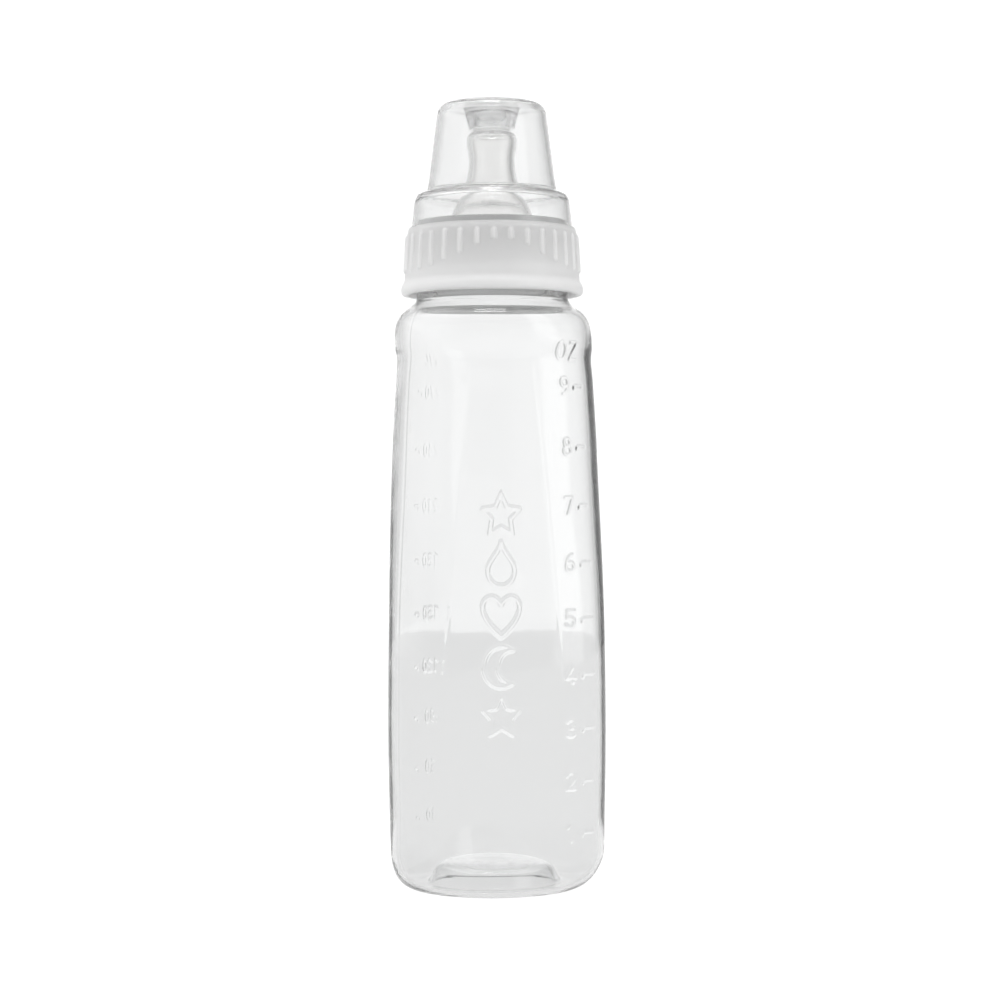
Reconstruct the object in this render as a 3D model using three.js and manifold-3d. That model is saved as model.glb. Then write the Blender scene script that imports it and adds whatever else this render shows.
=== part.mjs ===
// Baby bottle: a clear bottle with a rounded three-sided body, a silicone nipple, a ribbed screw collar
// and a hood.
// Millimetres, +Z up along the neck axis, with one flat panel of the body facing -Y.
// The origin is the centre of the footprint's bounding box, on the surface that the bottle stands on.

import * as THREE from "three";
import { mergeVertices } from "three/addons/utils/BufferGeometryUtils.js";
import Module from "manifold-3d";

const wasm = await Module();
wasm.setup();

// ---- Driving dimensions ----

// Body section: a circle with three soft corners, which fades out towards the base and the shoulder.
const LOBE = 2.9; // each corner stands this far outside the mean circle, and each panel as far inside it
const LOBE_SECOND = -0.29; // second harmonic, which flattens the panels and rounds the corners
const AXIS_Y = -LOBE; // the neck axis, which this puts in front of the centre of the footprint
const BACK_CORNER = Math.PI / 2; // direction of the corner at the back
const BOTTLE_WALL = 1.3;

// Base and body heights.
const PUSH_UP = 6.2; // rise of the base's centre above the standing ring
const RING_IN = 17.6;
const RING_OUT = 19.8;
const HEEL_R = 27.5;
const HEEL_Z = 10.5;

// Neck finish: a 43 mm single-start thread, six turns to the inch.
const ROOT_R = 19.95; // plain part of the neck, between the shoulder and the collar
const NECK_R = 19.6;
const NECK_Z = 156.6;
const BORE_R = 17.5;
const RIM_Z = 169.1;
const PITCH = 25.4 / 6;
const BEAD = 1.1; // radius of the round thread bead
const THREAD_R = 19.75; // centre line of the bottle's thread
const THREAD_Z = 160.2;
const THREAD_TURNS = 1.125;

// Nipple.
const GAP = 0.3; // clearance between pieces that touch
const FLANGE_R = 20;
const FLANGE_TOP = 171.1;
const THROAT_R = 11.7; // the nipple where it passes through the collar
const NIPPLE_WALL = 1.3;
const NIPPLE_TOP = 198.4;
const FEED_HOLE_R = 0.5;

// Collar.
const COLLAR_BOTTOM = 155.3;
const COLLAR_BORE = 21.3;
const LIP_R = 23.95;
const GRIP_LOW = { r: 23.0, z: 159.6 };
const GRIP_TOP = { r: 22.4, z: 170.5 };
const PLATE_TOP = 173.0;
const HOOD_SEAT = { r: 21.55, z: 172.1, lip: 173.0 }; // groove for the hood's rim, inside a low outer lip
const HOOD_RING = { inner: 18.3, outer: 19.7, top: 174.6 };
const COLLAR_THREAD_R = 21.15;
const RIBS = 32;
const RIB_R = 0.75;
const RIB_SUNK = 0.25; // how far a rib's centre line lies inside the grip's surface
const RIB_TOP = 171.1;
const RIB_ARCH_Z = 168.1; // lower end of the ribs at the crown of each arch
const RIB_ARCH_DROP = 6.9; // how much lower the ribs at the sides reach

// Hood.
const HOOD_WALL = 1.15;
const HOOD_TOP = 206.3;
const SKIRT_BOTTOM = HOOD_SEAT.z + 0.35;
const SKIRT_R = HOOD_SEAT.r - 0.3;

// Facets round each piece.
const BOTTLE_SIDES = 48;
const COLLAR_SIDES = 2 * RIBS;
const HOOD_SIDES = 36;
const NIPPLE_SIDES = 24;

// ---- Materials ----

const clearPlastic = new THREE.MeshStandardMaterial({
  color: 0xe9ebea,
  roughness: 0.12,
  transparent: true,
  opacity: 0.35,
});
const silicone = new THREE.MeshStandardMaterial({
  color: 0xe6e4de,
  roughness: 0.35,
  transparent: true,
  opacity: 0.55,
});
const milkyPlastic = new THREE.MeshStandardMaterial({ color: 0xeeeeec, roughness: 0.3 });

// ---- Geometry helpers ----

const smooth = (low, high, value) => THREE.MathUtils.smoothstep(value, low, high);
const vectors = (pairs) => pairs.map(([r, z]) => new THREE.Vector2(r, z));

// A smooth outline through [radius, height] pairs.
const spline = (pairs, steps) => new THREE.SplineCurve(vectors(pairs)).getPoints(steps);

// One Bezier bend between two points.
const bend = (from, pullA, pullB, to, steps) =>
  new THREE.CubicBezierCurve(...vectors([from, pullA, pullB, to])).getPoints(steps);

// The outline moved sideways by depth, to the left of the way it runs. A point on the axis stays on it.
function inset(outline, depth) {
  return outline.map((point, i) => {
    const before = outline[Math.max(i - 1, 0)];
    const after = outline[Math.min(i + 1, outline.length - 1)];
    const along = after.clone().sub(before).normalize();
    const r = point.x === 0 ? 0 : point.x - depth * along.y;
    return new THREE.Vector2(r, point.y + depth * along.x);
  });
}

// A closed geometry as a manifold-3d solid, whichever way its faces turn.
function solid(geometry) {
  geometry.deleteAttribute("normal");
  geometry.deleteAttribute("uv");
  const merged = mergeVertices(geometry, 1e-4);
  const triVerts = new Uint32Array(merged.index.array);
  const vertProperties = merged.attributes.position.array;
  const made = new wasm.Manifold(new wasm.Mesh({ numProp: 3, vertProperties, triVerts }));
  if (made.volume() > 0) return made;
  triVerts.reverse();
  return new wasm.Manifold(new wasm.Mesh({ numProp: 3, vertProperties, triVerts }));
}

// A revolved outline, standing along +Z.
const revolve = (outline, sides) => new THREE.LatheGeometry(outline, sides).rotateX(Math.PI / 2);

function mesh(name, made, material) {
  const { vertProperties, triVerts } = made.getMesh();
  const geometry = new THREE.BufferGeometry();
  geometry.setAttribute("position", new THREE.BufferAttribute(vertProperties, 3));
  geometry.setIndex(new THREE.BufferAttribute(triVerts, 1));
  geometry.computeVertexNormals();
  const part = new THREE.Mesh(geometry, material);
  part.name = name;
  return part;
}

// The centre line of a thread bead, which dives by fade into its wall at both ends.
class Helix extends THREE.Curve {
  constructor(radius, bottom, turns, fade) {
    super();
    Object.assign(this, { radius, bottom, turns, fade });
  }

  getPoint(t, target = new THREE.Vector3()) {
    const angle = 2 * Math.PI * this.turns * t;
    const proud = smooth(0, 0.08, t) * (1 - smooth(0.92, 1, t));
    const r = this.radius - this.fade * (1 - proud);
    return target.set(r * Math.cos(angle), r * Math.sin(angle), this.bottom + PITCH * this.turns * t);
  }
}

function threadBead(helix) {
  const section = new THREE.Shape().absarc(0, 0, BEAD, 0, 2 * Math.PI);
  const steps = Math.round(32 * helix.turns);
  const options = { steps, extrudePath: helix, bevelEnabled: false, curveSegments: 3 };
  return solid(new THREE.ExtrudeGeometry(section, options));
}

// ---- Bottle ----

// How much of the lobed section shows at a radius and height: none on the base's floor or the neck, little at the
// table, and most from the heel to half way up.
function lobeShare(r, z) {
  const upper = 1 - 0.42 * smooth(66, 112, z);
  return smooth(12, 24, r) * smooth(-2, 11, z) * upper * (1 - smooth(132, 154, z));
}

// Turns the round sections of a revolved body into three-sided ones, as the outline of a smooth
// support function.
function addLobes(geometry) {
  const position = geometry.attributes.position;
  for (let i = 0; i < position.count; i++) {
    const [x, y, z] = [position.getX(i), position.getY(i), position.getZ(i)];
    const r = Math.hypot(x, y);
    const turn = Math.atan2(y, x);
    const fromCorner = turn - BACK_CORNER;
    const first = LOBE * lobeShare(r, z);
    const second = LOBE_SECOND * lobeShare(r, z);
    const reach = r + first * Math.cos(3 * fromCorner) + second * Math.cos(6 * fromCorner);
    const slope = -3 * first * Math.sin(3 * fromCorner) - 6 * second * Math.sin(6 * fromCorner);
    position.setX(i, reach * Math.cos(turn) - slope * Math.sin(turn));
    position.setY(i, reach * Math.sin(turn) + slope * Math.cos(turn));
  }
  return geometry;
}

function bottle() {
  const pushUp = bend([0, PUSH_UP], [8, PUSH_UP], [13, PUSH_UP + 0.3], [14.4, 4.2], 4);
  const foot = bend([14.4, 4.2], [15.5, 2.2], [15.9, 0], [RING_IN, 0], 4);
  const heel = bend([RING_OUT, 0], [24.2, 0.2], [26.85, 3.3], [HEEL_R, HEEL_Z], 5);
  const side = spline([[HEEL_R, HEEL_Z], [28.1, 42], [27.6, 84], [26.5, 117], [25.3, 137]], 7);
  const shoulder = bend([25.3, 137], [25.25, 140.5], [25.85, 139.9], [25.85, 143], 2);
  const shoulderTop = bend([25.85, 143], [25.8, 151.8], [22.6, 150.4], [ROOT_R, 154], 5);
  const base = [...pushUp, ...foot.slice(1), ...heel];
  const body = [...base, ...side.slice(1), ...shoulder.slice(1), ...shoulderTop.slice(1)];
  const neckRoot = [[ROOT_R, NECK_Z - 0.6], [NECK_R, NECK_Z]];
  const neckOut = vectors([...neckRoot, [NECK_R, RIM_Z - 0.4], [NECK_R - 0.4, RIM_Z]]);
  const neckIn = vectors([[BORE_R + 0.4, RIM_Z], [BORE_R, RIM_Z - 0.4], [BORE_R, NECK_Z]]);
  const cavity = inset(body, BOTTLE_WALL).reverse();
  const shell = solid(addLobes(revolve([...body, ...neckOut, ...neckIn, ...cavity], BOTTLE_SIDES)));
  return shell.add(threadBead(new Helix(THREAD_R, THREAD_Z, THREAD_TURNS, BEAD - 0.1)));
}

// ---- Nipple ----

function nipple() {
  const flange = vectors([[FLANGE_R, RIM_Z + GAP], [FLANGE_R, FLANGE_TOP], [THROAT_R, FLANGE_TOP]]);
  const bead = vectors([[THROAT_R, PLATE_TOP + GAP], [THROAT_R + 0.9, 173.7], [THROAT_R + 0.8, 174.4]]);
  const domeLow = [[11.3, 174.9], [10.5, 176.7], [8.9, 180.2]];
  const dome = spline([...domeLow, [6.95, 182.9], [6.3, 186.5], [5.95, 191]], 8);
  const bulbLow = [[5.95, 191], [6.2, 193], [6.5, 194.8]];
  const bulb = spline([...bulbLow, [6.45, 196.7], [5.6, 198], [3.9, NIPPLE_TOP]], 6);
  const outside = [...dome, ...bulb.slice(1)];
  const hole = vectors([[FEED_HOLE_R, NIPPLE_TOP], [FEED_HOLE_R, NIPPLE_TOP - NIPPLE_WALL]]);
  const inside = inset(outside, NIPPLE_WALL).reverse();
  const mouth = vectors([[9.6, FLANGE_TOP], [9.6, RIM_Z + GAP], [FLANGE_R, RIM_Z + GAP]]);
  return solid(revolve([...flange, ...bead, ...outside, ...hole, ...inside, ...mouth], NIPPLE_SIDES));
}

// ---- Collar ----

// The ribs' lower ends draw two arches, one over the front of the collar and one over the back.
function ribBottom(angle) {
  const aside = Math.abs(Math.cos(angle)); // 0 at the front and the back, 1 at the sides
  return RIB_ARCH_Z - RIB_ARCH_DROP * smooth(0, 0.94, aside);
}

function rib(angle) {
  const bottom = ribBottom(angle);
  const length = RIB_TOP - bottom;
  const lean = Math.atan((GRIP_LOW.r - GRIP_TOP.r) / (GRIP_TOP.z - GRIP_LOW.z));
  const middle = bottom + length / 2;
  const along = (middle - GRIP_LOW.z) / (GRIP_TOP.z - GRIP_LOW.z);
  const r = THREE.MathUtils.lerp(GRIP_LOW.r, GRIP_TOP.r, along) - RIB_SUNK;
  const geometry = new THREE.CapsuleGeometry(RIB_R, length - 2 * RIB_R, 1, 6);
  geometry.rotateX(Math.PI / 2).rotateY(-lean).translate(r, 0, middle).rotateZ(angle);
  return solid(geometry);
}

function collar() {
  const { inner, outer, top } = HOOD_RING;
  const holeR = THROAT_R + GAP;
  const plateBottom = FLANGE_TOP + GAP;
  const hole = vectors([[holeR, plateBottom], [holeR, PLATE_TOP]]);
  const ring = vectors([[inner, PLATE_TOP], [inner, top], [outer - 0.4, top], [outer, top - 0.4]]);
  const { r: seatR, z: seatZ, lip: seatLip } = HOOD_SEAT;
  const seat = vectors([[outer, seatZ], [seatR, seatZ], [seatR, seatLip - 0.2]]);
  const bevel = bend([seatR + 0.2, seatLip], [22.1, 172.6], [22.25, 171.6], [GRIP_TOP.r, GRIP_TOP.z], 2);
  const cove = bend([GRIP_LOW.r, GRIP_LOW.z], [23.05, 158.6], [23.7, 158.3], [23.9, 157.3], 2);
  const lip = bend([LIP_R, 156.6], [LIP_R, 155.7], [23.6, COLLAR_BOTTOM], [23, COLLAR_BOTTOM], 2);
  const skirtIn = [[22, COLLAR_BOTTOM], [COLLAR_BORE, 156.2]];
  const inside = vectors([...skirtIn, [COLLAR_BORE, plateBottom], [holeR, plateBottom]]);
  const outline = [...hole, ...ring, ...seat, ...bevel, ...cove, ...lip, ...inside];
  let made = solid(revolve(outline, COLLAR_SIDES));
  made = made.add(threadBead(new Helix(COLLAR_THREAD_R, THREAD_Z - PITCH / 2, 1, 0)));
  for (let i = 0; i < RIBS; i++) made = made.add(rib((2 * Math.PI * (i + 0.5)) / RIBS));
  return made;
}

// ---- Hood ----

function hood() {
  const crown = spline([[0, HOOD_TOP], [8, HOOD_TOP - 0.15], [11.9, 205.7], [13.7, 204.7], [14.4, 203]], 6);
  const cone = spline([[15.5, 194.2], [16.75, 184.4]], 1);
  const step = spline([[17.1, 182.7], [18.2, 182.15], [19.6, 181.6], [20.35, 180], [20.65, 177.8]], 5);
  const skirt = vectors([[SKIRT_R, SKIRT_BOTTOM], [SKIRT_R - HOOD_WALL, SKIRT_BOTTOM]]);
  const skirtIn = spline([[19.5, 178], [19.2, 179.8], [18.2, 180.8], [16.4, 181.2], [15.6, 182.6]], 5);
  const coneIn = vectors([[15.6, 184.4], [14.35, 194.2], [13.2, 203], [12.4, 204.4]]);
  const plug = vectors([[7.5, 204.9], [5.9, 198.9], [4.7, 198.9], [4.2, 203.4], [0, 203.8]]);
  return solid(revolve([...crown, ...cone, ...step, ...skirt, ...skirtIn, ...coneIn, ...plug], HOOD_SIDES));
}

// ---- Assembly ----

const babyBottle = new THREE.Group();
babyBottle.position.y = AXIS_Y;
babyBottle.add(
  mesh("bottle", bottle(), clearPlastic),
  mesh("nipple", nipple(), silicone),
  mesh("collar", collar(), milkyPlastic),
  mesh("hood", hood(), clearPlastic),
);

export default babyBottle;
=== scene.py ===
# Looks of the baby bottle: fine meshes of its four pieces, their materials, the studio and the camera.
# Outlines are in millimetres round the neck axis, the same outlines that the CAD pieces are made from.
import math

import bpy
import numpy as np
from mathutils import Matrix, Vector


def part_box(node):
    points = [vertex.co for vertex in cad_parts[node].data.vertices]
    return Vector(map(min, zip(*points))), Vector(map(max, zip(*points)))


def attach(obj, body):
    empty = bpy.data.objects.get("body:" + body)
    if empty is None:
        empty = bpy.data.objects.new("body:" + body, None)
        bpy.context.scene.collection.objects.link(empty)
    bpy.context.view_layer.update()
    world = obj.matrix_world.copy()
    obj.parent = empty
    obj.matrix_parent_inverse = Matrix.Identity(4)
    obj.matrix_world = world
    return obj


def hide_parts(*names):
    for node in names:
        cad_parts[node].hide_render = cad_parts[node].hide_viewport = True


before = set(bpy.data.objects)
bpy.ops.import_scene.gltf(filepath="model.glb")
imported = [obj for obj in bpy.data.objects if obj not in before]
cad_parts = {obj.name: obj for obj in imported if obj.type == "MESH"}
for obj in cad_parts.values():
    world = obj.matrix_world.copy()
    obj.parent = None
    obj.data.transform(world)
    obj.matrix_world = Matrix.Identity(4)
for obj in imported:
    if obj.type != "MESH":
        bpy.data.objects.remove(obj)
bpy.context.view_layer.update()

# ---- Driving dimensions ----

MM = 0.001
COLLAR_LOW, COLLAR_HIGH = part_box("collar")
AXIS = Vector(((COLLAR_LOW.x + COLLAR_HIGH.x) / 2, (COLLAR_LOW.y + COLLAR_HIGH.y) / 2, 0))
RIM_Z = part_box("bottle")[1].z / MM
HOOD_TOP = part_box("hood")[1].z / MM
SKIRT_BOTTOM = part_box("hood")[0].z / MM
NIPPLE_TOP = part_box("nipple")[1].z / MM
COLLAR_BOTTOM = COLLAR_LOW.z / MM
LIP_R = (COLLAR_HIGH.x - COLLAR_LOW.x) / 2 / MM

LOBE = 2.9
LOBE_SECOND = -0.29
BOTTLE_WALL = 1.3
PUSH_UP = 6.2  # rise of the base's middle above the standing ring
RING_IN, RING_OUT = 17.6, 19.8
HEEL_R, HEEL_Z = 27.5, 10.5
ROOT_R, NECK_R, NECK_Z, BORE_R = 19.95, 19.6, 156.6, 17.5
PITCH = 25.4 / 6
THREAD_Z = 160.2
THREAD_TURNS = 1.125
THREAD_DEPTH = 1.2
BEAD = 1.1  # half the width of the thread's round bead

FLANGE_R, FLANGE_TOP, THROAT_R = 20.0, 171.1, 11.7
NIPPLE_WALL = 1.3
PLATE_TOP = 173.0
SEAT_R, SEAT_Z = 21.55, 172.1  # groove for the hood's rim, inside a low outer lip
GRIP_LOW_R, GRIP_LOW_Z = 23.0, 159.6
GRIP_TOP_R, GRIP_TOP_Z = 22.4, 170.5
COLLAR_BORE = 21.3
RIBS = 32
RIB_HEIGHT = 0.5
RIB_HALF_WIDTH = 0.78
RIB_TOP = 170.3
ON_AXIS = 1e-6  # a smaller radius is on the axis

CAMERA_TURN = math.radians(-7)  # how far the camera stands round from the middle of the front panel
CAMERA_AWAY = 0.650
CAMERA_RIGHT = 0.0019
CAMERA_ROLL = math.radians(-0.17)
EYE_LEVEL = 0.1016
LENS = 88.92

PAPER = 1.14  # brightness of the white paper round the set
ROOM = 0.66  # and of the room away from the lights
BEHIND = 0.1  # added in the whole back half
LEFT_PANEL = 0.45
RIGHT_PANEL = 1.0
RIGHT_FLAG = 0.25  # taken off behind the right edge, to draw it
OVERHEAD = 0.5
FLOOR_GLOW = 0.79  # of the white floor, as the bottle sees it
EVERYWHERE = (0, 200, 5)  # middle, half width and edge softness of a band that takes in every direction

# ---- Outlines ----


def smooth(low, high, value):
    """0 below low, 1 above high and an S-shaped rise between them."""
    t = np.clip((np.asarray(value, float) - low) / (high - low), 0, 1)
    return t * t * (3 - 2 * t)


def bend(start, pull_a, pull_b, end, steps=24):
    """One cubic Bezier bend between two points."""
    t = np.linspace(0, 1, steps + 1)[:, None]
    a, b, c, d = (np.array(p, float) for p in (start, pull_a, pull_b, end))
    return a * (1 - t) ** 3 + 3 * b * t * (1 - t) ** 2 + 3 * c * t**2 * (1 - t) + d * t**3


def spline(points, steps=60):
    """A uniform Catmull-Rom curve through [radius, height] pairs."""
    p = np.array(points, float)
    place = np.linspace(0, len(p) - 1, steps + 1)
    i = np.minimum(place.astype(int), len(p) - 2)
    w = (place - i)[:, None]
    p0, p1, p2, p3 = p[np.maximum(i - 1, 0)], p[i], p[i + 1], p[np.minimum(i + 2, len(p) - 1)]
    v0, v1 = (p2 - p0) / 2, (p3 - p1) / 2
    return (2 * p1 - 2 * p2 + v0 + v1) * w**3 + (-3 * p1 + 3 * p2 - 2 * v0 - v1) * w**2 + v0 * w + p1


def join(*stretches):
    return np.vstack([np.array(s, float) for s in stretches])


def inset(outline, depth):
    """The outline moved sideways by depth, to the left of the way it runs.
    A point on the axis stays on it."""
    along = np.gradient(outline, axis=0)
    along /= np.linalg.norm(along, axis=1)[:, None]
    moved = outline + depth * np.stack([-along[:, 1], along[:, 0]], 1)
    moved[outline[:, 0] < ON_AXIS, 0] = 0
    return moved


def spaced(outline, step):
    """The outline with points at an even distance."""
    keep = np.r_[True, np.linalg.norm(np.diff(outline, axis=0), axis=1) > 1e-6]
    outline = outline[keep]
    run = np.r_[0, np.cumsum(np.linalg.norm(np.diff(outline, axis=0), axis=1))]
    at = np.linspace(0, run[-1], max(int(run[-1] / step), 2) + 1)
    return np.stack([np.interp(at, run, outline[:, k]) for k in (0, 1)], 1)


def soften(outline, radius, closed=False):
    """Rounds every corner of an outline off, as a moulded edge is."""
    step = 0.05
    fine = spaced(outline, step)
    reach = int(3 * radius / step)
    weights = np.exp(-0.5 * (np.arange(-reach, reach + 1) * step / radius) ** 2)
    weights /= weights.sum()
    if closed:
        fine = fine[:-1]
        padded = np.vstack([fine[-reach:], fine, fine[:reach]])
    else:  # both ends are on the axis, where the outline goes on as its own mirror image
        mirror = np.array([-1, 1])
        padded = np.vstack([fine[reach:0:-1] * mirror, fine, fine[-2 : -reach - 2 : -1] * mirror])
    out = np.stack([np.convolve(padded[:, k], weights, "valid") for k in (0, 1)], 1)
    if closed:
        return np.vstack([out, out[:1]])
    out[[0, -1], 0] = 0
    return out


def thinned(outline, turn=4.0, longest=3.0):
    """Drops the points that a smooth outline can spare: it keeps one for every few degrees of turn, and
    one at least every longest mm, where longest may depend on the point."""
    along = np.diff(outline, axis=0)
    heading = np.degrees(np.unwrap(np.arctan2(along[:, 1], along[:, 0])))
    length = np.linalg.norm(along, axis=1)
    limit = longest if callable(longest) else (lambda point: longest)
    kept, last_heading, run = [0], heading[0], 0.0
    for i in range(1, len(outline) - 1):
        run += length[i - 1]
        if abs(heading[i] - last_heading) >= turn or run >= limit(outline[i]):
            kept.append(i)
            last_heading, run = heading[i], 0.0
    kept.append(len(outline) - 1)
    return outline[kept]


# ---- Meshes ----


def pole(z):
    """The ring of one point where an outline meets the axis."""
    return [(0.0, 0.0, z)]


def level_ring(x, y, z):
    return np.stack([x, y, np.full(x.shape, z)], 1)


def ring_mesh(name, rings, body, node, material):
    """One piece: a closed skin over rings of points, in mm round the neck axis.
    A ring of one point is a pole. Where neither end is a pole, the last ring joins the first."""
    verts, starts = [], []
    for ring in rings:
        starts.append(len(verts))
        verts.extend(ring)
    faces = []
    count = max(len(ring) for ring in rings)
    around = [(k, (k + 1) % count) for k in range(count)]
    pairs = list(zip(range(len(rings) - 1), range(1, len(rings))))
    if len(rings[0]) > 1:
        pairs.append((len(rings) - 1, 0))
    for low, high in pairs:
        a, b = starts[low], starts[high]
        if len(rings[low]) == 1:
            faces.extend((a, b + j, b + i) for i, j in around)
        elif len(rings[high]) == 1:
            faces.extend((a + i, a + j, b) for i, j in around)
        else:
            faces.extend((a + i, a + j, b + j, b + i) for i, j in around)
    mesh = bpy.data.meshes.new(name)
    points = np.array(verts, float) * MM + np.array(AXIS)
    mesh.from_pydata(points.tolist(), [], faces)
    mesh.validate()
    turned_out(mesh)
    mesh.polygons.foreach_set("use_smooth", [True] * len(mesh.polygons))
    mesh.materials.append(material)
    piece = bpy.data.objects.new(name, mesh)
    bpy.context.scene.collection.objects.link(piece)
    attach(piece, body)
    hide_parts(node)
    return piece


def turned_out(mesh):
    """Flips a closed mesh whose faces point inwards."""
    mesh.calc_loop_triangles()
    co = np.zeros(len(mesh.vertices) * 3)
    mesh.vertices.foreach_get("co", co)
    tri = np.zeros(len(mesh.loop_triangles) * 3, int)
    mesh.loop_triangles.foreach_get("vertices", tri)
    a, b, c = co.reshape(-1, 3)[tri.reshape(-1, 3)].transpose(1, 0, 2)
    if np.einsum("ij,ij->i", a, np.cross(b, c)).sum() < 0:
        mesh.flip_normals()


def round_rings(outline, sides, relief=None):
    """Rings of a revolved outline. relief(r, z, angles) says how far each point stands out of it."""
    angles = np.arange(sides) * 2 * math.pi / sides
    rings = []
    for r, z in outline:
        if r < ON_AXIS:
            rings.append(pole(z))
            continue
        out = r + (relief(r, z, angles) if relief else 0)
        rings.append(level_ring(out * np.cos(angles), out * np.sin(angles), z))
    return rings


def thread_relief(z, angles, start_z, turns):
    """How far the round thread bead stands out at a height and at angles round the neck."""
    out = np.zeros_like(angles)
    for lap in range(-1, 3):
        along = angles / (2 * math.pi) + lap
        inside = (along >= 0) & (along <= turns)
        away = (z - (start_z + PITCH * along)) / BEAD
        bead = np.sqrt(np.clip(1 - away**2, 0, 1))
        share = along / turns
        fade = smooth(0, 0.06, share) * (1 - smooth(0.94, 1, share))
        out = np.maximum(out, np.where(inside, THREAD_DEPTH * bead * fade, 0))
    return out


# ---- Bottle ----

FRONT = -math.pi / 2  # direction of the front panel's middle
NORMALS = np.linspace(-math.pi, math.pi, 1441)


def lobe_share(r, z):
    """How much of the three-sided shape shows at a radius and height."""
    upper = 1 - 0.42 * smooth(66, 112, z)
    return smooth(12, 24, r) * smooth(-2, 11, z) * upper * (1 - smooth(132, 154, z))


def lobes(r, share, normal):
    """The three-sided section's distance from the axis along each normal, and its slope."""
    corner = normal - math.pi
    reach = r + share * (LOBE * np.cos(3 * corner) + LOBE_SECOND * np.cos(6 * corner))
    slope = -3 * share * LOBE * np.sin(3 * corner) - 6 * share * LOBE_SECOND * np.sin(6 * corner)
    return reach, slope


def section(r, z, polar):
    """Points of the three-sided section at the given directions from the front, with their normals."""
    share = float(lobe_share(r, z))
    reach, slope = lobes(r, share, NORMALS)
    seen = NORMALS + np.arctan2(slope, reach)
    normal = np.interp(polar, seen, NORMALS)
    reach, slope = lobes(r, share, normal)
    way = normal + FRONT
    x = reach * np.cos(way) - slope * np.sin(way)
    y = reach * np.sin(way) + slope * np.cos(way)
    return x, y, way


def arc(cx, cy, rx, ry, start, end, steps=14):
    """Points along an ellipse from one angle to another, in degrees."""
    a = np.radians(np.linspace(start, end, steps + 1))
    return np.stack([cx + rx * np.cos(a), cy + ry * np.sin(a)], 1)


# Strokes of each character in a box 0.6 wide and 1 high.
GLYPHS = {
    "0": [arc(0.3, 0.5, 0.25, 0.46, 0, 360, 28)],
    "1": [[(0.1, 0.78), (0.34, 0.96), (0.34, 0.04)]],
    "2": [join(arc(0.29, 0.7, 0.24, 0.26, 165, -35), [(0.05, 0.04), (0.56, 0.04)])],
    "3": [arc(0.27, 0.73, 0.22, 0.23, 150, -90), arc(0.27, 0.27, 0.26, 0.24, 90, -150)],
    "4": [[(0.43, 0.04), (0.43, 0.96), (0.03, 0.3), (0.58, 0.3)]],
    "5": [join([(0.52, 0.95), (0.13, 0.95), (0.09, 0.53)], arc(0.27, 0.3, 0.26, 0.27, 118, -150))],
    "6": [arc(0.3, 0.29, 0.24, 0.26, 0, 360, 24), arc(0.5, 0.3, 0.44, 0.66, 180, 98)],
    "7": [[(0.05, 0.95), (0.55, 0.95), (0.22, 0.04)]],
    "8": [arc(0.3, 0.73, 0.2, 0.22, 0, 360, 22), arc(0.3, 0.27, 0.25, 0.24, 0, 360, 24)],
    "9": [arc(0.3, 0.71, 0.24, 0.26, 0, 360, 24), arc(0.1, 0.7, 0.44, 0.66, 0, -82)],
    "O": [arc(0.32, 0.5, 0.29, 0.46, 0, 360, 28)],
    "Z": [[(0.05, 0.95), (0.56, 0.95), (0.04, 0.05), (0.58, 0.05)]],
    "M": [[(0.02, 0.04), (0.06, 0.96), (0.31, 0.35), (0.56, 0.96), (0.6, 0.04)]],
    "L": [[(0.1, 0.96), (0.1, 0.04), (0.52, 0.04)]],
}


def lettering(text, height, pitch=0.78):
    """Strokes of a text, centred on the origin, in mm."""
    strokes = []
    width = pitch * (len(text) - 1) + 0.6
    for i, char in enumerate(text):
        for stroke in GLYPHS[char]:
            strokes.append((np.array(stroke, float) + [i * pitch - width / 2, -0.5]) * height)
    return strokes


def tick(length):
    """A graduation line whose left end curls down."""
    return [join(arc(-length / 2 + 0.7, -0.55, 0.7, 0.6, 200, 90, 6), [(length / 2, 0.05)])]


def star(radius):
    a = np.radians(90 + 36 * np.arange(11))
    r = np.where(np.arange(11) % 2, 0.5 * radius, radius)
    return [np.stack([r * np.cos(a), r * np.sin(a)], 1)]


def moon(radius):
    outer = arc(0, 0, radius, radius, 55, 305, 28)
    inner = arc(0.62 * radius, 0, 0.82 * radius, 0.82 * radius, 270, 90, 22)
    return [join(outer, inner, outer[:1])]


def drop(radius):
    side = radius * bend([0, 1.25], [0.15, 0.6], [0.8, 0.3], [0.8, -0.25], 12)
    bottom = arc(0, -0.25 * radius, 0.8 * radius, 0.8 * radius, 0, -180, 18)
    return [join(side, bottom, (side * [-1, 1])[::-1])]


def heart(radius):
    half = radius * bend([0, 0.5], [0.35, 1.25], [1.25, 0.85], [0.95, 0.1], 12)
    tip = radius * bend([0.95, 0.1], [0.75, -0.4], [0.3, -0.7], [0, -0.95], 8)
    right = join(half, tip)
    return [join(right, (right * [-1, 1])[::-1])]


EMBOSS = 0.42  # the front stands back by the ornament's height, which ends at the smooth outline
ORNAMENT_HALF_WIDTH = 0.8  # of its strokes
MARK_RELIEF = 0.34  # of the fluid ounce scale
BACK_RELIEF = 0.12  # of the millilitre scale
MARK_HALF_WIDTH = 0.55
SEAM_RELIEF = 0.05
SEAMS = (-60, 120)  # directions of the mould's parting line
CREASE = 0.14  # depth of the narrow groove along each side of the front panel
CREASE_HALF_WIDTH = 0.5
PANEL_TOP_HALF = 20.5  # half the front panel's width at 130 mm up, in degrees
PANEL_SPREAD = 0.19  # degrees that it gains per mm downwards
STROKE_EDGE = 0.5  # width of a raised stroke's sloping side
SCALE_BOTTOM = 16.4  # height of the first fluid ounce mark
SCALE_MARKS = 9
OZ_HEIGHT = 139.8
ORNAMENT_TOP = 97.5  # height of the topmost ornament's middle
ORNAMENT_PITCH = 12.7


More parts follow.
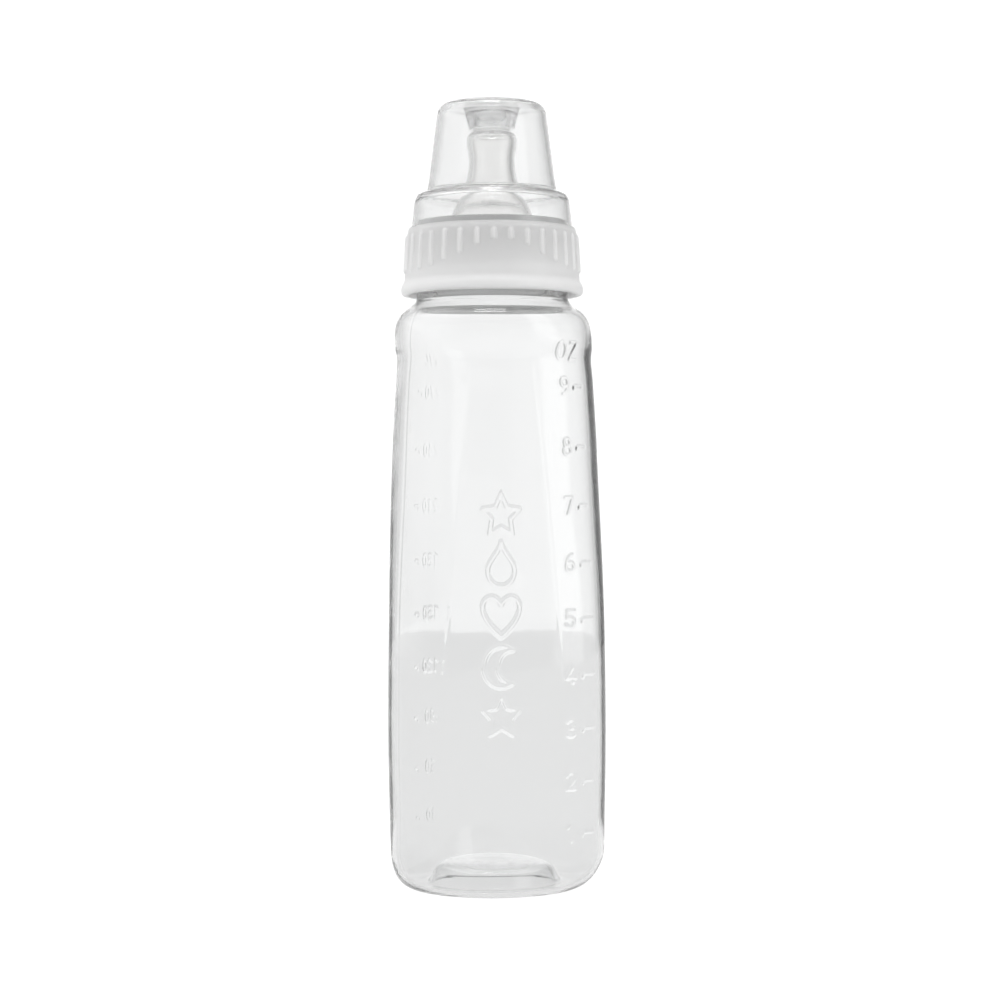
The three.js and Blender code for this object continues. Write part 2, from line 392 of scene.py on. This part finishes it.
def mark_height(ounces):
    """Height of a fluid ounce mark. The marks draw slightly apart as the body narrows upwards."""
    n = ounces - 1
    return SCALE_BOTTOM + 13.3 * n + 0.06 * n**2 + 0.0081 * n**3


def raised_marks():
    """Every raised mark: its strokes, its middle's direction in degrees from the front and its height,
    its relief and half the width of its strokes."""
    front = (MARK_RELIEF, MARK_HALF_WIDTH)
    back = (BACK_RELIEF, MARK_HALF_WIDTH)
    marks = []
    for ounces in range(1, SCALE_MARKS + 1):
        z = mark_height(ounces)
        marks.append((lettering(str(ounces), 4.6), 38.5, z, *front))
        marks.append((tick(3.2), 48.5, z, *front))
        marks.append((lettering(str(30 * ounces), 3.6), -144, z, *back))
        marks.append((tick(3.0), -126, z, *back))
    marks.append((lettering("OZ", 4.9, 0.86), 41, OZ_HEIGHT, *front))
    marks.append((lettering("ML", 4.4, 0.86), -141, OZ_HEIGHT, *back))
    ornaments = [star(5.6), drop(4.9), heart(5.4), moon(5.2), star(5.6)]
    for i, strokes in enumerate(ornaments):
        marks.append((strokes, -2, ORNAMENT_TOP - ORNAMENT_PITCH * i, EMBOSS, ORNAMENT_HALF_WIDTH))
    return marks


def stroke_distance(u, v, strokes):
    """Distance of each point (u, v) from the nearest stroke."""
    best = np.full(u.shape, 1e9)
    for stroke in strokes:
        for (ax, ay), (bx, by) in zip(stroke[:-1], stroke[1:]):
            dx, dy = bx - ax, by - ay
            t = np.clip(((u - ax) * dx + (v - ay) * dy) / max(dx * dx + dy * dy, 1e-12), 0, 1)
            best = np.minimum(best, np.hypot(u - ax - t * dx, v - ay - t * dy))
    return best


def relief_map(polar, r, z):
    """How far each point of the body's outside stands out of its smooth shape: the marks, the creases
    beside the front panel and the mould seams."""
    height = np.zeros(polar.shape)
    for strokes, degrees, middle, depth, half_width in raised_marks():
        u = (polar - math.radians(degrees)) * (r + 0.7)
        v = z - middle
        size = max(np.abs(s).max() for s in strokes) + half_width
        near = (np.abs(u) < size) & (np.abs(v) < size)
        away = stroke_distance(u[near], v[near], strokes)
        height[near] += depth * (1 - smooth(half_width - STROKE_EDGE, half_width, away))
    degrees = np.degrees(polar)
    aside = np.abs(degrees)
    fade = (1 - smooth(46, 78, aside)) * smooth(12, 22, z) * (1 - smooth(137, 147, z))
    height -= EMBOSS * fade
    beyond = (aside - PANEL_TOP_HALF - PANEL_SPREAD * (130 - z)) * math.pi / 180 * r
    fade = (1 - smooth(40, 58, aside)) * smooth(28, 60, z) * (1 - smooth(134, 139, z))
    height -= CREASE * fade * (1 - smooth(0, CREASE_HALF_WIDTH, np.abs(beyond)))
    for seam in SEAMS:
        away = ((degrees - seam + 180) % 360 - 180) * math.pi / 180 * r
        fade = smooth(2, 8, z) * (1 - smooth(146, 153, z))
        height += SEAM_RELIEF * fade * (1 - smooth(0.05, 0.3, np.abs(away)))
    return height


def body_directions():
    """Directions round the body: close together where something is raised, wider apart elsewhere."""
    back_scale = {(-157, -121): 0.75}
    seam_side = {(-80, -61.5): 1.3, (-61.5, -58.5): 0.6, (-58.5, -42): 1.3}
    panel = {(-42, -15): 0.6, (-15, 11): 0.5, (11, 31): 0.6}
    front_scale = {(31, 54): 0.48, (54, 88): 1.0}
    steps = {**back_scale, **seam_side, **panel, **front_scale}
    elsewhere = 2.4
    out, at = [], -180.0
    while at < 180 - 0.3:
        out.append(at)
        at += next((step for (low, high), step in steps.items() if low <= at < high), elsewhere)
    return np.radians(out)


def bottle_relief(r, z, polar):
    """The thread on the neck, and the marks on the body. The base and the shoulder's top are smooth."""
    if z > 156:
        return thread_relief(z, np.mod(polar + FRONT, 2 * math.pi), THREAD_Z, THREAD_TURNS)
    if r > 22:
        return relief_map(polar, r, np.full(polar.shape, z))
    return np.zeros_like(polar)


def bottle_ring(r, z, polar, relief=None):
    if r < ON_AXIS:
        return pole(z)
    x, y, way = section(r, z, polar)
    if relief:
        raised = relief(r, z, polar)
        x, y = x + raised * np.cos(way), y + raised * np.sin(way)
    return level_ring(x, y, z)


def ring_gap(point):
    """Longest gap between the rings of the outside: small where marks are raised, wider between them."""
    z = point[1]
    rows = [OZ_HEIGHT] + [mark_height(ounces) for ounces in range(1, SCALE_MARKS + 1)]
    marked = 40.5 < z < 103.5 or min(abs(z - row) for row in rows) < 2.9
    return 0.3 if marked or z > 156 else 0.9


def bottle_piece(material):
    push_up = bend([0, PUSH_UP], [8, PUSH_UP], [13, PUSH_UP + 0.3], [14.4, 4.2])
    foot = bend([14.4, 4.2], [15.5, 2.2], [15.9, 0], [RING_IN, 0])
    heel = bend([RING_OUT, 0], [24.2, 0.2], [26.85, 3.3], [HEEL_R, HEEL_Z])
    side = spline([[HEEL_R, HEEL_Z], [28.1, 42], [27.6, 84], [26.5, 117], [25.3, 137]])
    shoulder = bend([25.3, 137], [25.25, 140.5], [25.85, 139.9], [25.85, 143])
    top = bend([25.85, 143], [25.8, 151.8], [22.6, 150.4], [ROOT_R, 154])
    body = join(push_up, foot[1:], heel, side[1:], shoulder[1:], top[1:])
    neck_out = [[ROOT_R, NECK_Z - 0.6], [NECK_R, NECK_Z], [NECK_R, RIM_Z - 0.4], [NECK_R - 0.4, RIM_Z]]
    neck_in = [[BORE_R + 0.4, RIM_Z], [BORE_R, RIM_Z - 0.4], [BORE_R, NECK_Z]]
    cavity = inset(spaced(body, 0.5), BOTTLE_WALL)[::-1]
    outside = soften(join(body, neck_out, neck_in, cavity), 0.25)
    split = int(np.argmax(outside[:, 1]))
    outer = thinned(outside[: split + 1], 3.0, ring_gap)
    inner = thinned(outside[split:], 4.0, 1.8)[1:]
    polar = body_directions()
    rings = [bottle_ring(r, z, polar, bottle_relief) for r, z in outer]
    rings += [bottle_ring(r, z, polar) for r, z in inner]
    return ring_mesh("bottle_clear", rings, "bottle", "bottle", material)


# ---- Nipple, collar and hood ----


def nipple_piece(material):
    bottom = RIM_Z + 0.3
    flange = [[FLANGE_R, bottom], [FLANGE_R, FLANGE_TOP], [THROAT_R, FLANGE_TOP]]
    bead = [[THROAT_R, PLATE_TOP + 0.3], [THROAT_R + 0.9, 173.7], [THROAT_R + 0.8, 174.4]]
    dome = spline([[11.3, 174.9], [10.5, 176.7], [8.9, 180.2], [6.95, 182.9], [6.3, 186.5], [5.95, 191]])
    bulb = spline([[5.95, 191], [6.2, 193], [6.5, 194.8], [6.45, 196.7], [5.6, 198], [3.9, NIPPLE_TOP]])
    outside = join(dome, bulb[1:])
    hole = [[0.5, NIPPLE_TOP], [0.5, NIPPLE_TOP - NIPPLE_WALL]]
    inside = inset(spaced(outside, 0.5), NIPPLE_WALL)[::-1]
    mouth = [[9.6, FLANGE_TOP], [9.6, bottom], [FLANGE_R, bottom]]
    outline = soften(join(flange, bead, outside, hole, inside, mouth), 0.14, closed=True)
    outline = thinned(outline, 5, 1.0)[:-1]
    rings = round_rings(outline, 120)
    return ring_mesh("nipple_silicone", rings, "nipple", "nipple", material)


def rib_relief(r, z, angles):
    """The collar's grip: round-ended ribs. Their lower ends draw an arch over the front and the back."""
    pitch = 2 * math.pi / RIBS
    middle = (np.floor(angles / pitch) + 0.5) * pitch
    low = 168.85 - 6.9 * smooth(0, 0.94, np.abs(np.cos(middle)))
    beyond = np.maximum(np.maximum(low - z, z - RIB_TOP), 0)
    away = np.hypot((angles - middle) * r, beyond) / RIB_HALF_WIDTH
    return RIB_HEIGHT * np.sqrt(np.clip(1 - away**2, 0, 1))


def collar_relief(r, z, angles):
    """Ribs on the grip, and the thread inside the skirt."""
    if r > 22.2 and 160 < z < 172:
        return rib_relief(r, z, angles)
    if abs(r - COLLAR_BORE) < 0.05 and z < FLANGE_TOP:
        return -thread_relief(z, angles, THREAD_Z - PITCH / 2, 1)
    return np.zeros_like(angles)


def collar_gap(point):
    """Longest gap between the collar's rings: small where the ribs and the thread are."""
    return 0.3 if point[0] > 21 else 1.5


def collar_piece(material):
    hole_r = THROAT_R + 0.3
    plate = FLANGE_TOP + 0.3
    hole = [[hole_r, plate], [hole_r, PLATE_TOP]]
    ring = [[18.3, PLATE_TOP], [18.3, 174.6], [19.3, 174.6], [19.7, 174.2]]
    seat = [[19.7, SEAT_Z], [SEAT_R, SEAT_Z], [SEAT_R, PLATE_TOP - 0.2]]
    bevel = bend([SEAT_R + 0.2, PLATE_TOP], [22.1, 172.6], [22.25, 171.6], [GRIP_TOP_R, GRIP_TOP_Z])
    cove = bend([GRIP_LOW_R, GRIP_LOW_Z], [23.05, 158.6], [23.7, 158.3], [23.9, 157.3])
    lip = bend([LIP_R, 156.6], [LIP_R, 155.7], [23.6, COLLAR_BOTTOM], [23, COLLAR_BOTTOM])
    inside = [[22, COLLAR_BOTTOM], [COLLAR_BORE, 156.2], [COLLAR_BORE, plate], [hole_r, plate]]
    outline = soften(join(hole, ring, seat, bevel, cove, lip, inside), 0.16, closed=True)
    outline = thinned(outline, 6, collar_gap)[:-1]
    rings = round_rings(outline, 16 * RIBS, collar_relief)
    return ring_mesh("collar_milky", rings, "collar", "collar", material)


def hood_piece(material):
    crown = spline([[0, HOOD_TOP], [8, HOOD_TOP - 0.15], [11.9, 205.7], [13.7, 204.7], [14.4, 203]])
    cone = [[15.5, 194.2], [16.75, 184.4]]
    step = spline([[17.1, 182.7], [18.2, 182.15], [19.6, 181.6], [20.35, 180], [20.65, 177.8]])
    skirt = [[SEAT_R - 0.3, SKIRT_BOTTOM], [SEAT_R - 1.45, SKIRT_BOTTOM]]
    skirt_in = spline([[19.5, 178], [19.2, 179.8], [18.2, 180.8], [16.4, 181.2], [15.6, 182.6]])
    cone_in = [[15.6, 184.4], [14.35, 194.2], [13.2, 203], [12.4, 204.4]]
    plug = [[7.5, 204.9], [5.9, 198.9], [4.7, 198.9], [4.2, 203.4], [0, 203.8]]
    outline = thinned(soften(join(crown, cone, step, skirt, skirt_in, cone_in, plug), 0.22), 4, 2.5)
    return ring_mesh("hood_clear", round_rings(outline, 160), "hood", "hood", material)


# ---- Materials ----


def new_material(name):
    material = bpy.data.materials.new(name)
    material.use_nodes = True
    return material, material.node_tree, material.node_tree.nodes["Principled BSDF"]


def noise(tree, scale, detail=2.0):
    """A noise value that is fixed to the piece."""
    place = tree.nodes.new("ShaderNodeTexCoord")
    texture = tree.nodes.new("ShaderNodeTexNoise")
    texture.inputs["Scale"].default_value = scale
    texture.inputs["Detail"].default_value = detail
    tree.links.new(place.outputs["Object"], texture.inputs["Vector"])
    return texture.outputs["Fac"]


def ranged(tree, value, low, high):
    """A value from 0 to 1 spread from low to high."""
    node = tree.nodes.new("ShaderNodeMapRange")
    node.inputs["To Min"].default_value = low
    node.inputs["To Max"].default_value = high
    tree.links.new(value, node.inputs["Value"])
    return node.outputs["Result"]


def bumped(tree, shader, value, distance, strength):
    bump = tree.nodes.new("ShaderNodeBump")
    bump.inputs["Distance"].default_value = distance
    bump.inputs["Strength"].default_value = strength
    tree.links.new(value, bump.inputs["Height"])
    tree.links.new(bump.outputs["Normal"], shader.inputs["Normal"])


def clear_plastic(name, color, clear, rough):
    """Clear moulded polypropylene: glossy, with a faint haze and a slow waviness."""
    material, tree, shader = new_material(name)
    shader.inputs["Base Color"].default_value = (*color, 1)
    shader.inputs["IOR"].default_value = 1.49
    shader.inputs["Transmission Weight"].default_value = clear
    tree.links.new(ranged(tree, noise(tree, 90), *rough), shader.inputs["Roughness"])
    bumped(tree, shader, noise(tree, 55), 0.0004, 0.15)
    inside = tree.nodes.new("ShaderNodeVolumeAbsorption")
    inside.inputs["Color"].default_value = (0, 0, 0, 1)
    inside.inputs["Density"].default_value = 2
    tree.links.new(inside.outputs["Volume"], tree.nodes["Material Output"].inputs["Volume"])
    return material


def silicone(name):
    """Clear silicone with a soft satin surface."""
    material, tree, shader = new_material(name)
    shader.inputs["Base Color"].default_value = (0.985, 0.983, 0.979, 1)
    shader.inputs["IOR"].default_value = 1.41
    shader.inputs["Transmission Weight"].default_value = 1.0
    tree.links.new(ranged(tree, noise(tree, 400), 0.05, 0.1), shader.inputs["Roughness"])
    bumped(tree, shader, noise(tree, 900, 4), 0.0001, 0.2)
    return material


def milky_plastic(name):
    """Milky polypropylene of the collar: light glows a little way into it."""
    material, tree, shader = new_material(name)
    shader.inputs["Base Color"].default_value = (0.99, 0.99, 0.985, 1)
    shader.inputs["IOR"].default_value = 1.49
    shader.inputs["Transmission Weight"].default_value = 0.08
    shader.inputs["Subsurface Weight"].default_value = 1.0
    shader.inputs["Subsurface Radius"].default_value = (1.0, 1.0, 1.0)
    shader.inputs["Subsurface Scale"].default_value = 0.007
    tree.links.new(ranged(tree, noise(tree, 150), 0.34, 0.4), shader.inputs["Roughness"])
    bumped(tree, shader, noise(tree, 700, 3), 0.0001, 0.25)
    return material


bottle_piece(clear_plastic("clear_bottle_plastic", (0.915, 0.918, 0.918), 0.99, (0.02, 0.04)))
nipple_piece(silicone("silicone_clear"))
collar_piece(milky_plastic("milky_collar_plastic"))
hood_piece(clear_plastic("clear_hood_plastic", (0.91, 0.913, 0.913), 0.98, (0.06, 0.1)))

# ---- Studio ----


def floor(radius=1.25):
    """A round white floor, evenly lit."""
    count = 96
    turns = np.arange(count) * 2 * math.pi / count
    ring = [(radius * math.cos(a), radius * math.sin(a), 0) for a in turns]
    mesh = bpy.data.meshes.new("floor")
    mesh.from_pydata(ring, [], [tuple(range(count))])
    material, tree, shader = new_material("floor_white")
    shader.inputs["Base Color"].default_value = (0.12, 0.12, 0.12, 1)
    shader.inputs["Roughness"].default_value = 1.0
    shader.inputs["Specular IOR Level"].default_value = 0.0
    shader.inputs["Emission Color"].default_value = (1, 1, 1, 1)
    seen = tree.nodes.new("ShaderNodeLightPath").outputs["Is Camera Ray"]
    tree.links.new(ranged(tree, seen, FLOOR_GLOW, 1.0), shader.inputs["Emission Strength"])
    mesh.materials.append(material)
    plane = bpy.data.objects.new("floor", mesh)
    bpy.context.scene.collection.objects.link(plane)


class Sky:
    """Brightness of the world by direction, in degrees from the camera's line and from level."""

    def __init__(self, tree):
        self.tree = tree
        place = tree.nodes.new("ShaderNodeTexCoord")
        split = tree.nodes.new("ShaderNodeSeparateXYZ")
        tree.links.new(place.outputs["Generated"], split.inputs["Vector"])
        turned = self.math("ARCTAN2", split.outputs["X"], split.outputs["Y"])
        self.azimuth = self.math("ADD", self.math("DEGREES", turned), math.degrees(CAMERA_TURN))
        self.elevation = self.math("DEGREES", self.math("ARCSINE", split.outputs["Z"]))
        self.total = ROOM
        self.rays = tree.nodes.new("ShaderNodeLightPath").outputs

    def math(self, operation, a, b=None):
        node = self.tree.nodes.new("ShaderNodeMath")
        node.operation = operation
        for socket, value in zip(node.inputs, (a, b)):
            if hasattr(value, "node"):
                self.tree.links.new(value, socket)
            elif value is not None:
                socket.default_value = value
        return node.outputs[0]

    def mix(self, factor, a, b):
        return self.math("ADD", a, self.math("MULTIPLY", factor, self.math("SUBTRACT", b, a)))

    def band(self, angle, half, soft):
        """1 where an angle from a band's middle is less than half, with a soft edge, and 0 beyond it."""
        node = self.tree.nodes.new("ShaderNodeMapRange")
        node.interpolation_type = "SMOOTHSTEP"
        limits = {"From Min": half - soft, "From Max": half + soft, "To Min": 1, "To Max": 0}
        for name, value in limits.items():
            node.inputs[name].default_value = value
        self.tree.links.new(self.math("ABSOLUTE", angle), node.inputs["Value"])
        return node.outputs["Result"]

    def patch(self, across, up, brightness):
        """A soft-edged sheet of light. across and up are its middle, half width and edge softness."""
        wide = self.band(self.math("SUBTRACT", self.azimuth, across[0]), *across[1:])
        high = self.band(self.math("SUBTRACT", self.elevation, up[0]), *up[1:])
        light = self.math("MULTIPLY", self.math("MULTIPLY", wide, high), brightness)
        self.total = self.math("ADD", self.total, light)


def studio_world():
    """White paper behind, a wide soft panel on the left, a narrow one on the right, a dark flag behind
    the right edge and soft light overhead."""
    world = bpy.data.worlds.new("studio")
    bpy.context.scene.world = world
    world.use_nodes = True
    tree = world.node_tree
    sky = Sky(tree)
    sky.patch((0, 100, 25), EVERYWHERE, BEHIND)
    sky.patch((0, 15, 6), (0, 22, 6), PAPER - ROOM - BEHIND)
    panel_up = (15, 50, 15)
    sky.patch((-95, 40, 20), panel_up, LEFT_PANEL)
    sky.patch((122, 15, 5), panel_up, RIGHT_PANEL)
    sky.patch((52, 24, 8), EVERYWHERE, -RIGHT_FLAG)
    sky.patch(EVERYWHERE, (90, 48, 15), OVERHEAD)
    seen = sky.mix(sky.rays["Is Camera Ray"], sky.total, PAPER)
    tree.links.new(seen, tree.nodes["Background"].inputs["Strength"])
    tree.nodes["Background"].inputs["Color"].default_value = (1, 1, 1, 1)


def softbox(name, place, size, power):
    light = bpy.data.lights.new(name, "AREA")
    light.shape = "RECTANGLE"
    light.size, light.size_y = size
    light.energy = power
    lamp = bpy.data.objects.new(name, light)
    bpy.context.scene.collection.objects.link(lamp)
    lamp.location = AXIS + Vector(place)
    aim = AXIS + Vector((0, 0, 0.12)) - lamp.location
    lamp.rotation_euler = aim.to_track_quat("-Z", "Y").to_euler()


def camera():
    """Level camera that stands a little round to the left of the front panel."""
    data = bpy.data.cameras.new("camera")
    data.sensor_width = 36
    data.lens = LENS
    data.clip_start = 0.01
    eye = bpy.data.objects.new("camera", data)
    bpy.context.scene.collection.objects.link(eye)
    away = Vector((math.sin(CAMERA_TURN), -math.cos(CAMERA_TURN), 0))
    right = Vector((math.cos(CAMERA_TURN), math.sin(CAMERA_TURN), 0))
    eye.location = AXIS + CAMERA_AWAY * away + CAMERA_RIGHT * right + Vector((0, 0, EYE_LEVEL))
    level = (-away).to_track_quat("-Z", "Y").to_matrix().to_4x4()
    roll = Matrix.Rotation(CAMERA_ROLL, 4, "Z")
    eye.rotation_euler = (level @ roll).to_euler()
    bpy.context.scene.camera = eye


floor()
studio_world()
softbox("overhead", (-0.04, -0.22, 0.85), (0.3, 0.1), 0.95)
camera()
scene = bpy.context.scene
scene.view_settings.view_transform = "Standard"
scene.cycles.max_bounces = 64
scene.cycles.transmission_bounces = 40
scene.cycles.glossy_bounces = 40
scene.cycles.diffuse_bounces = 24
